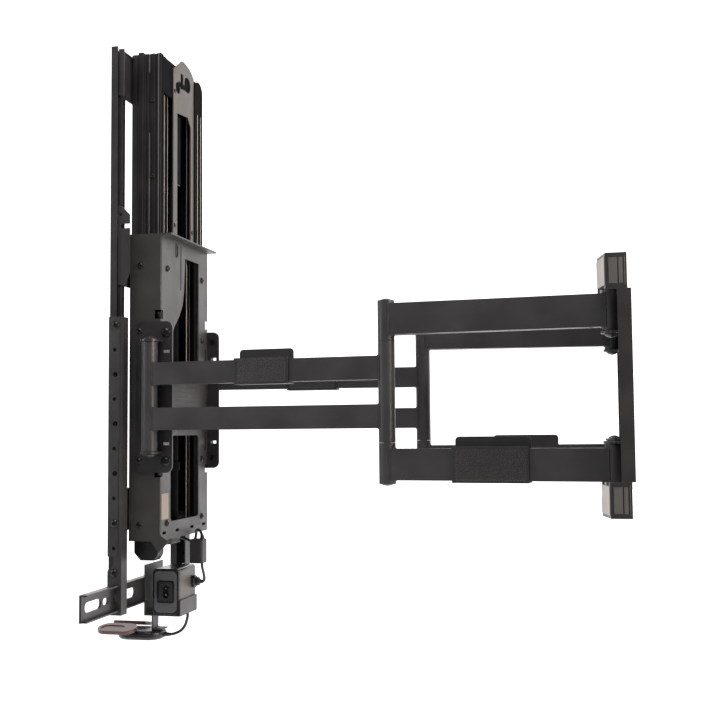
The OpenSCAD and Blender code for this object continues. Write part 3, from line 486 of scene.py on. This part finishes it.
# CAD nodes with rounded edges, by the size of the edge
EDGES = {
    0.0022: "near_upper_arm_top near_upper_arm_bottom far_upper_arm_top far_upper_arm_bottom near_forearm "
            "far_forearm",
    0.0012: "upper_wall_cover lower_wall_cover power_box motor_cap column_foot inline_block",
    0.0007: "wall_plate near_wall_hinge far_wall_hinge near_head_hinge far_head_hinge carriage_shell "
            "slotted_bar near_tv_rail far_tv_rail upper_cross_bar middle_cross_bar lower_cross_bar "
            "near_side_strip far_side_strip power_tray lead_clamp sensor_tab actuator_bracket "
            "near_upper_arm_clip far_upper_arm_clip near_forearm_clip far_forearm_clip power_inlet "
            "gable_plate belt_cover",
    0.0004: "carriage_slides column_rails front_slides column_end_plates carriage_bolts strip_bolts "
            "near_elbow_pin far_elbow_pin head_hinge_pins wall_hinge_pins actuator_rod blank_label",
    0.0050: "sensor_body",
    0.0018: "sensor_lobes",
}
OWN_FINISH = {
    "column_foot": SLICK, "motor_cap": SLICK, "sensor_body": SLICK, "belt_cover": DEEP,
    "inline_block": MOULDED, "upper_wall_cover": MOULDED, "lower_wall_cover": MOULDED,
    "carriage_bolts": BOLT, "strip_bolts": BOLT, "column_rails": RAIL_COAT,
    "column_end_plates": DEEP, "actuator_rod": DEEP, "actuator_tube": DEEP,
    "actuator_bracket": DEEP, "power_box": SLICK, "lift_belts": DEEP, "carriage_shell": CARRIAGE_COAT,
}


def finish_nodes():
    """Rounds the edges of the nodes listed above, and gives every other node its coat."""
    softened = set()
    for width, names in EDGES.items():
        segments = 4 if width > 0.003 else 3 if width > 0.001 else 2
        for node in names.split():
            soften(node, width, OWN_FINISH.get(node), segments)
            softened.add(node)
    for node in frame["nodes"]:
        if node not in softened:
            recoat(node, OWN_FINISH.get(node))


# Wall covers: the ends of a slanted corner, the levels of the panels and their thickness
COVER_CORNER, COVER_END = (0.180, 0.036), (0.220, 0.027)
COVER_LOW, COVER_STEP, COVER_HIGH = 0.1055, 0.1225, 0.1400
CORNER_LOW = 0.1085
FRONT_HALF, NARROW_HALF = 0.178, 0.124
END_PANEL_Z = (0.1098, 0.1382)
PANEL_T = 0.0008


def cover_panels(up):
    """Pale panels on the corners and the front of the upper cover, or with up at -1 of the lower one."""
    along = Vector((COVER_END[0] - COVER_CORNER[0], COVER_END[1] - COVER_CORNER[1])).normalized()
    out = Vector((-along.y, along.x))
    bm = bmesh.new()
    for side in (1, -1):
        first = Vector(COVER_CORNER) + along * 0.0015
        last = Vector(COVER_END) - along * 0.002
        corners = (first, last, last + out * PANEL_T, first + out * PANEL_T)
        prism(bm, [(side * c.x, -c.y) for c in corners], CORNER_LOW, COVER_HIGH)
    front = -COVER_CORNER[1]
    for half, low, high in ((FRONT_HALF, COVER_STEP, COVER_HIGH), (NARROW_HALF, COVER_LOW, COVER_STEP)):
        corners = [(-half, front), (half, front), (half, front - PANEL_T), (-half, front - PANEL_T)]
        prism(bm, corners, low, high)
    return done(bm, "cover_panels", Matrix.Scale(up, 4, (0, 0, 1)))


def cover_ends(up):
    """Grey panels in the shallow recess at each end of a cover, with a narrow one by the wall."""
    low, high = END_PANEL_Z
    bm = bmesh.new()
    for side in (1, -1):
        inner, outer = side * (COVER_END[0] - 0.0007), side * (COVER_END[0] + 0.0002)
        for front, back in ((-0.0235, -0.0142), (-0.0128, -0.0085)):
            block(bm, (inner, front, low), (outer, back, high))
    return done(bm, "cover_ends", Matrix.Scale(up, 4, (0, 0, 1)))


def make_covers():
    """Both covers' panels, with their edges broken."""
    parts = (("panels", cover_panels, COVER), ("end_panels", cover_ends, COVER_END_COAT))
    for label, up in (("upper", 1), ("lower", -1)):
        for part, make, finish in parts:
            panel = add_piece(label + "_cover_" + part, make(up), "wall_bracket", finish,
                              smooth=False)
            keep_edges(panel, 0.0003, 2)


# Cable clips: pitch and rise of the grip, the clip's wall, and each grip's place, length and height
GRIP_PITCH, GRIP_RISE = 0.0036, 0.0007
CLIP_WALL = 0.0024
UPPER_GRIP_AT = {"near": 0.141, "far": 0.123}
FORE_GRIP_AT = 0.162
UPPER_GRIP, FORE_GRIP = (0.084, 0.036), (0.067, 0.029)


def diamond():
    """Two low pyramids that repeat into a staggered grid of diamonds."""
    reach, top_share = GRIP_PITCH * 0.46, 0.35
    bm = bmesh.new()
    for x, y in ((0, 0), (GRIP_PITCH / 2, GRIP_PITCH / 2)):
        base = []
        top = []
        for quarter in range(4):
            along, across = reach * math.cos(quarter * math.pi / 2), reach * math.sin(quarter * math.pi / 2)
            base.append(bm.verts.new((x + along, y + across, 0)))
            top.append(bm.verts.new((x + along * top_share, y + across * top_share, GRIP_RISE)))
        for k in range(4):
            bm.faces.new((base[k], base[(k + 1) % 4], top[(k + 1) % 4], top[k]))
        bm.faces.new(top)
        bm.faces.new(base[::-1])
    mesh = bpy.data.meshes.new("diamond")
    bm.to_mesh(mesh)
    bm.free()
    return mesh


def grip(name, body, place, sign, tube_size, mid, size):
    """Diamonds on the outer wall of one arm's clip, mid metres from the arm's pivot."""
    width, tube_h, level = tube_size
    length, height = size
    level = level - tube_h / 2 + height / 2
    turn = Matrix.Rotation(math.radians(90), 4, "Z") @ Matrix.Rotation(math.radians(90), 4, "X")
    if sign < 0:
        turn = Matrix.Rotation(math.radians(180), 4, "Z") @ turn
    spot = place @ Matrix.Translation((sign * (width / 2 + CLIP_WALL), -mid, level)) @ turn
    along, across = int(length / GRIP_PITCH), max(2, int(height / GRIP_PITCH))
    mesh = repeat(diamond(), along, across, (along - 1) * GRIP_PITCH, (across - 1) * GRIP_PITCH, GRIP, spot)
    add_piece(name, joined(name, [mesh]), body, GRIP, smooth=False)


def make_grips():
    """A grip on the lower tube of each upper arm and on the upper tube of each forearm."""
    lower_tube = (UPPER_TUBE[0], UPPER_TUBE[1], -UPPER_TUBE[2])
    for side, sign in SIDES:
        grip(side + "_upper_grip", side + "_upper_arm", upper_frame(sign), sign, lower_tube,
             UPPER_GRIP_AT[side], UPPER_GRIP)
        grip(side + "_fore_grip", side + "_forearm", fore_frame(sign), sign, FORE_TUBE,
             FORE_GRIP_AT, FORE_GRIP)


# Weld beads where the arm tubes meet their posts: a bead's radius and how much its lumps add
BEAD_R, BEAD_LUMP = 0.0011, 0.0003


def bead(bm, width, height, level, length, far_end):
    """A lumpy bead round the end of a tube, where it meets the post."""
    edge = math.asin(width / 2 / POST_R)
    half = height / 2
    arc = [edge * (1 - 2 * k / 12) for k in range(13)]
    loop = [(POST_R * math.sin(a), POST_R * math.cos(a), level + half) for a in arc]
    low = [(POST_R * math.sin(a), POST_R * math.cos(a), level - half) for a in reversed(arc)]
    corner_y = POST_R * math.cos(edge)
    rows = 12
    down = [(-width / 2, corner_y, level + half - height * k / rows) for k in range(1, rows)]
    rise = [(width / 2, corner_y, level - half + height * k / rows) for k in range(1, rows)]
    path = [(x, -(length - y if far_end else y), z) for x, y, z in loop + down + low + rise]
    tube(bm, path, lambda t: BEAD_R + BEAD_LUMP * math.sin(t * 170), 8, closed=True)


def weld(name, body, place, tube_size, length):
    """The beads at both ends of one arm's two tubes."""
    width, height, level = tube_size
    bm = bmesh.new()
    for z in (level, -level):
        for far_end in (False, True):
            bead(bm, width, height, z, length, far_end)
    put(bm, name, body, WELD, matrix=place)


def make_welds():
    """Welds on all four arms."""
    for side, sign in SIDES:
        weld(side + "_upper_welds", side + "_upper_arm", upper_frame(sign), UPPER_TUBE, UPPER_LEN)
        weld(side + "_fore_welds", side + "_forearm", fore_frame(sign), FORE_TUBE, FORE_LEN)


# Lift belts: place, straight run and width of a belt, pitch of its teeth, radius of its run round a pulley
BELT_X, BELT_RUN, BELT_W = 0.040, (-0.168, 0.448), 0.010
TOOTH_PITCH = 0.005
RUN_R = 0.0093
# Two fine ribs on the cover over the far rail, coloured pale as painted highlight
RIBS_X, RIBS_Z = (-0.05125, -0.06325), (-0.170, 0.418)


def tooth():
    """One belt tooth, lying across the belt."""
    bm = bmesh.new()
    block(bm, (-0.0011, -BELT_W / 2 + 0.0004, 0), (0.0011, BELT_W / 2 - 0.0004, 0.0009))
    return done(bm, "tooth")


def make_belts():
    """Teeth on the inside of both runs of both belts, and pale strips of painted highlight along the belts'
    edges and on the ribs.
    """
    low, high = BELT_RUN
    count = int((high - low) / TOOTH_PITCH)
    teeth = []
    for x in (BELT_X, -BELT_X):
        for inward in (1, -1):
            lay = (Matrix.Rotation(math.radians(90), 4, "Y")
                   @ Matrix.Rotation(math.radians(90 * inward), 4, "X"))
            spot = Matrix.Translation((x, inward * RUN_R - BELT_Y, (low + high) / 2)) @ lay
            teeth.append(repeat(tooth(), count, 2, (count - 1) * TOOTH_PITCH, 0.0, BELT, spot))
    add_piece("belt_teeth", joined("belt_teeth", teeth), "lift_column", BELT, smooth=False)
    bm = bmesh.new()
    # Painted highlight: a thin pale strip beside each belt edge
    for x in (-BELT_X, BELT_X):
        for edge in (-1, 1):
            highlight_x = x + edge * (BELT_W / 2 + 0.0003)
            block(bm, (highlight_x - 0.0004, -BELT_Y + 0.0100, low), (highlight_x + 0.0004, -BELT_Y + 0.0109, high))
    # Painted highlight on the two ribs of the far cover
    for x in RIBS_X:
        block(bm, (x - 0.0005, -COLUMN_BACK + 0.0032, RIBS_Z[0]),
              (x + 0.0005, -COLUMN_BACK + 0.0037, RIBS_Z[1]))
    put(bm, "bright_edges", "lift_column", PAINTED_HIGHLIGHT, smooth=False)


# Column: its ends, the side of its rails, and the grooves' depths with the stretches that show a painted
# highlight line
COLUMN_LOW, COLUMN_HIGH = -0.183, 0.4695
RAIL_SIDE = 0.0714
GROOVE_HIGHLIGHT_LINES = ((0.0034, COLUMN_LOW, COLUMN_HIGH), (0.0166, COLUMN_LOW, 0.360), (0.0166, 0.444, COLUMN_HIGH))
TOP_WIRES = (
    [(0.052, -0.622, 0.464), (0.050, -0.621, 0.470), (0.044, -0.619, 0.474), (0.038, -0.617, 0.472),
     (0.034, -0.615, 0.465), (0.032, -0.6135, 0.459)],
    [(0.056, -0.625, 0.464), (0.052, -0.624, 0.4665), (0.046, -0.622, 0.4665), (0.040, -0.6205, 0.462)],
)
SIDE_SCREWS_Z = (0.405, 0.300, 0.120, -0.060)
BACK_SCREWS = ((0.028, 0.430), (0.028, 0.240), (-0.035, 0.240))


def screw_head(bm, at, radius, height, axis):
    """A round socket head standing on a face, growing along an axis."""
    at, axis = Vector(at), Vector(axis)
    side = axis.orthogonal().normalized()
    other = axis.cross(side)
    profile = ((radius, 0.0), (radius, height * 0.5), (radius * 0.8, height * 0.9), (radius * 0.5, height),
               (radius * 0.42, height * 0.45), (0.0001, height * 0.45))
    rings = []
    for r, h in profile:
        rings.append([bm.verts.new(at + axis * h + r * (math.cos(a) * side + math.sin(a) * other))
                      for a in (2 * math.pi * k / 18 for k in range(18))])
    for one, two in zip(rings, rings[1:]):
        for k in range(18):
            bm.faces.new((one[k], one[(k + 1) % 18], two[(k + 1) % 18], two[k]))
    bm.faces.new(rings[-1])
    bm.faces.new(rings[0][::-1])


def make_column():
    """Painted shade strips on the backs of the rails, painted highlight lines along their grooves, a wire
    loop on top, and screws.
    """
    bm = bmesh.new()
    # Painted shade: matte black strips on the backs of the rails, in the narrow gap facing the carriage
    for side in (1, -1):
        block(bm, (side * 0.0628, -COLUMN_BACK - 0.0001, COLUMN_LOW),
              (side * 0.0706, -COLUMN_BACK + 0.0002, COLUMN_HIGH - 0.0005))
    put(bm, "rail_back_strips", "lift_column", DEEP, smooth=False)
    # Painted shade: a matte black face on the narrow plate behind the gable's window
    bm = bmesh.new()
    block(bm, (0.0045, -COLUMN_BACK - 0.0001, 0.3010), (0.0180, -COLUMN_BACK + 0.0004, 0.3975))
    put(bm, "narrow_plate_face", "lift_column", DEEP, smooth=False)
    bm = bmesh.new()
    # Painted highlight: grey lines along the rails' grooves
    for side in (1, -1):
        for depth, low, high in GROOVE_HIGHLIGHT_LINES:
            y = -COLUMN_BACK - depth
            block(bm, (side * RAIL_SIDE, y - 0.0004, low), (side * (RAIL_SIDE + 0.0004), y + 0.0004, high))
    put(bm, "column_lines", "lift_column", PAINTED_DIM_HIGHLIGHT, smooth=False)
    bm = bmesh.new()
    for wire in TOP_WIRES:
        tube(bm, smooth_path(wire, 6), 0.0009, 8)
    put(bm, "top_wires", "lift_column", SHEATH)
    bm = bmesh.new()
    for z in SIDE_SCREWS_Z:
        for side in (1, -1):
            screw_head(bm, (side * 0.0715, -COLUMN_BACK - 0.012, z), 0.0032, 0.0022, (side, 0, 0))
    for x, z in BACK_SCREWS:
        screw_head(bm, (x, -COLUMN_BACK + 0.002, z), 0.003, 0.0012, (0, 1, 0))
    put(bm, "column_screws", "lift_column", BOLT)


# Carriage: levels of the ribs between its windows, the oval slot, and the corner seams with their clips
CARRIAGE_RIBS_Z = (-0.010, -0.004, 0.002, 0.008, 0.014)
RIB_HALF_X, RIB_HALF_Z = 0.048, 0.0011
OVAL_X, OVAL_Z, OVAL_R, OVAL_HALF = 0.030, 0.203, 0.0032, 0.0055
SEAM_X, SEAM_Z = (0.0806, 0.0816), (-0.188, 0.2165)
SEAM_CLIP_X, SEAM_CLIPS_Z, SEAM_CLIP_HALF = 0.0788, (0.110, -0.100), 0.0055


def make_carriage():
    """Pressed ribs and a ridge, a ring round the oval slot, and a dark seam down each back corner."""
    bm = bmesh.new()
    for z in CARRIAGE_RIBS_Z:
        block(bm, (-RIB_HALF_X, -CARRIAGE_BACK - 0.0001, z - RIB_HALF_Z),
              (RIB_HALF_X, -CARRIAGE_BACK + 0.0012, z + RIB_HALF_Z))
    block(bm, (0.0142, -CARRIAGE_BACK - 0.0001, 0.150), (0.0158, -CARRIAGE_BACK + 0.0008, 0.212))
    ribs = put(bm, "carriage_ribs", "carriage", DARK_COAT, smooth=False)
    keep_edges(ribs, 0.0005, 3)
    bm = bmesh.new()
    oval = []
    for k in range(24):
        a = 2 * math.pi * (k + 0.5) / 24
        level = OVAL_Z + (OVAL_HALF if math.sin(a) > 0 else -OVAL_HALF)
        oval.append((OVAL_X + OVAL_R * math.cos(a), -CARRIAGE_BACK + 0.0003, level + OVAL_R * math.sin(a)))
    tube(bm, oval, 0.0009, 8, closed=True)
    put(bm, "oval_ring", "carriage", BLACK_COAT)
    bm = bmesh.new()
    for side in (1, -1):
        block(bm, (side * SEAM_X[0], -CARRIAGE_BACK - 0.0001, SEAM_Z[0]),
              (side * SEAM_X[1], -CARRIAGE_BACK + 0.0002, SEAM_Z[1]))
        x, y = side * SEAM_CLIP_X, -CARRIAGE_BACK - 0.0045
        for z in SEAM_CLIPS_Z:
            tube(bm, [(x, y, z - SEAM_CLIP_HALF), (x, y, z + SEAM_CLIP_HALF)], 0.0026, 14)
    put(bm, "carriage_seams", "carriage", BOLT)


# Power supply: half its depth, its gap to the slotted bar, its levels and its near end
BOX_HALF_D = 0.019
BOX_MID_Y = BAR_BACK - 0.013 - BOX_HALF_D
BOX_LOW, BOX_HIGH, BOX_NEAR = -0.295, -0.233, 0.026


def rounded(width, height, radius, steps=6):
    """Outline of a rectangle with round corners, around the middle."""
    outline = []
    for cx, cy, start in ((1, 1, 0), (-1, 1, 90), (-1, -1, 180), (1, -1, 270)):
        for k in range(steps + 1):
            a = math.radians(start + 90 * k / steps)
            outline.append((cx * (width / 2 - radius) + radius * math.cos(a),
                            cy * (height / 2 - radius) + radius * math.sin(a)))
    return outline


def frame_plate(bm, outer, inner, shift, low, high):
    """A flat ring between two outlines with as many points, facing +X."""
    rows = []
    for outline, x in ((outer, low), (outer, high), (inner, high), (inner, low)):
        rows.append([bm.verts.new((x, shift[0] + u, shift[1] + v)) for u, v in outline])
    for a in range(4):
        one, two = rows[a], rows[(a + 1) % 4]
        for k in range(len(one)):
            nxt = (k + 1) % len(one)
            bm.faces.new((one[k], one[nxt], two[nxt], two[k]))


def make_power_supply():
    """A lighter end panel in a dark frame, a rim round the inlet, and a blank plate on the back."""
    middle = (-BOX_MID_Y, (BOX_LOW + BOX_HIGH) / 2)
    edge = rounded(0.0325, 0.0560, 0.0070)
    rim = rounded(0.0250, 0.0300, 0.0030)
    mouth = rounded(0.0205, 0.0255, 0.0020)
    bm = bmesh.new()
    frame_plate(bm, edge, rim, middle, BOX_NEAR - 0.0002, BOX_NEAR + 0.0007)
    panel = put(bm, "power_end_panel", "screen_frame", CASE_END, smooth=False)
    keep_edges(panel, 0.0003, 2)
    bm = bmesh.new()
    frame_plate(bm, rim, mouth, middle, BOX_NEAR + 0.0004, BOX_NEAR + 0.0011)
    put(bm, "inlet_rim", "screen_frame", SLICK, smooth=False)
    back_y = BOX_HALF_D - BOX_MID_Y
    bm = bmesh.new()
    block(bm, (-0.0150, back_y - 0.0001, -0.2925), (0.0215, back_y + 0.0003, -0.2370))
    blank = put(bm, "blank_rating_plate", "screen_frame", CASE_PLATE, smooth=False)
    keep_edges(blank, 0.0001, 1)


# Sensor pod: its outline, its distance in front of the slotted bar, and the level of its seam
POD_W, POD_D, POD_R = 0.046, 0.066, 0.021
POD_AHEAD, SEAM_LEVEL = 0.014, -0.3245


def make_sensor_seam():
    """A thin seam round the edge of the sensor pod, just outside its outline."""
    outside = 1.012
    y = -(BAR_BACK + POD_AHEAD)
    seam = [(u * outside, y + v * outside, SEAM_LEVEL) for u, v in rounded(POD_W, POD_D, POD_R, 10)]
    bm = bmesh.new()
    tube(bm, seam, 0.0006, 6, closed=True)
    put(bm, "sensor_seam", "screen_frame", SLICK)


# Screen rails: outer face of the side strips, and the two depths of the embossed line with its step
STRIP_OUT = 0.115
LINE_TOP, LINE_STEP, LINE_LOW = 0.104, -0.060, -0.206
LINE_UPPER_Y, LINE_LOWER_Y = -0.6475, -0.6495


def make_strip_lines():
    """An embossed stepped line on each side strip."""
    bm = bmesh.new()
    for side in (1, -1):
        inner, outer = side * (STRIP_OUT - 0.0002), side * (STRIP_OUT + 0.0004)
        for high, low, y in ((LINE_TOP, LINE_STEP, LINE_UPPER_Y), (LINE_STEP, LINE_LOW, LINE_LOWER_Y)):
            block(bm, (inner, y - 0.0005, low), (outer, y + 0.0005, high))
        block(bm, (inner, LINE_LOWER_Y - 0.0005, LINE_STEP - 0.0005),
              (outer, LINE_UPPER_Y + 0.0005, LINE_STEP + 0.0005))
    put(bm, "strip_lines", "screen_frame", BLACK_COAT, smooth=False)


# Leads: routes in millimetres, counted from the carriage's back plate
LEADS = {
    "box_lead": [(-24, 12, -256), (-24, 16, -256), (-24, 19, -254), (-22, 20, -249), (-18, 20, -241),
                 (-15, 20, -236), (-14, 20, -233), (-14, 20, -229)],
    "column_lead": [(-14, 20, -196), (-14, 20, -192), (-16, 17, -186), (-20, 12, -184), (-25, 7, -186),
                    (-28, 5.5, -191), (-29, 4, -196), (-30, 1, -199.5), (-31, -4, -200.5),
                    (-32, -11, -198.5), (-33, -19, -196), (-33, -25, -195), (-33, -29, -195)],
    "sensor_lead": [(0, -30, -326), (0, -24, -326), (-1, -16, -325), (-2, -7, -321), (-3, -1, -314),
                    (-3, 2, -306), (-3, 3, -301), (-3, 3, -297)],
}
LEAD_RADIUS = 0.002


def make_leads():
    """Each lead as a smooth round tube in place of the source's, with a ribbed relief at its start."""
    for name, points in LEADS.items():
        path = smooth_path([Vector(point) * MM - Vector((0, CARRIAGE_BACK, 0)) for point in points], 6)
        bm = bmesh.new()
        tube(bm, path, LEAD_RADIUS, 16)
        tube(bm, path[:9], lambda t: LEAD_RADIUS * (1.75 - 0.6 * t + 0.14 * math.sin(t * 26)), 16)
        put(bm, name + "_round", "screen_frame", SHEATH, replaced=(name,))


finish_nodes()
make_covers()
make_grips()
make_welds()
make_belts()
make_column()
make_carriage()
make_power_supply()
make_sensor_seam()
make_strip_lines()
make_leads()
